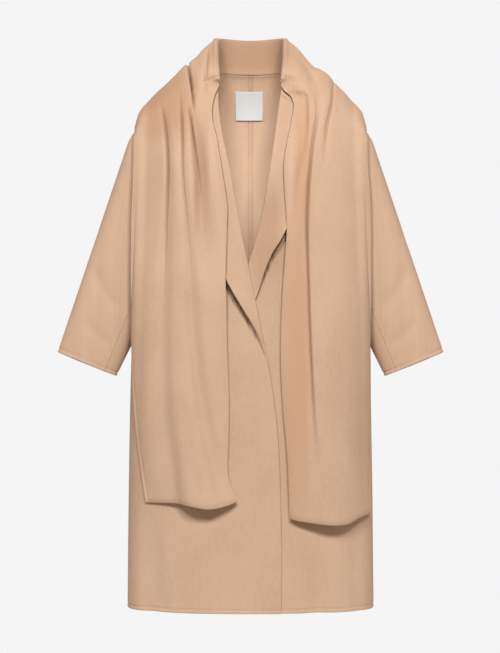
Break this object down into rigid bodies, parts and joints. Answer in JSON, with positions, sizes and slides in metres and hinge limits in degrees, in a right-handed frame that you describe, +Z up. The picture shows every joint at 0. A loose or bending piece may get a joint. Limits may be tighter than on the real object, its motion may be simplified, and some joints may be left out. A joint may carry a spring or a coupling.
{
  "type": "coat with a sewn-on scarf collar",
  "caption": "Long camel wool coat, filled out as worn, with a lapped open front, wide batwing sleeves and a broad scarf sewn on as its collar and hanging over both fronts.",
  "frame": {"origin": "midway between the neck points of the two shoulder seams, where a wearer's shoulders carry the coat", "axes": "+Z up, -Y out of the front, +X toward the wearer's left"},
  "size_m": [0.808, 0.2904, 1.1957],
  "materials": {
    "camel_wool": "soft matt double-faced wool with a short nap",
    "label_tape": "matt woven tape"
  },
  "bodies": {
    "root": {"back_right": "camel_wool", "back_left": "camel_wool", "front_right": "camel_wool", "front_left": "camel_wool", "lapel_right": "camel_wool", "lapel_left": "camel_wool", "sleeve_upper_right": "camel_wool", "sleeve_upper_left": "camel_wool", "sleeve_under_right": "camel_wool", "sleeve_under_left": "camel_wool", "scarf_end_right": "camel_wool", "scarf_end_left": "camel_wool", "scarf_neck": "camel_wool", "neck_label": "label_tape"}
  },
  "joints": []
}
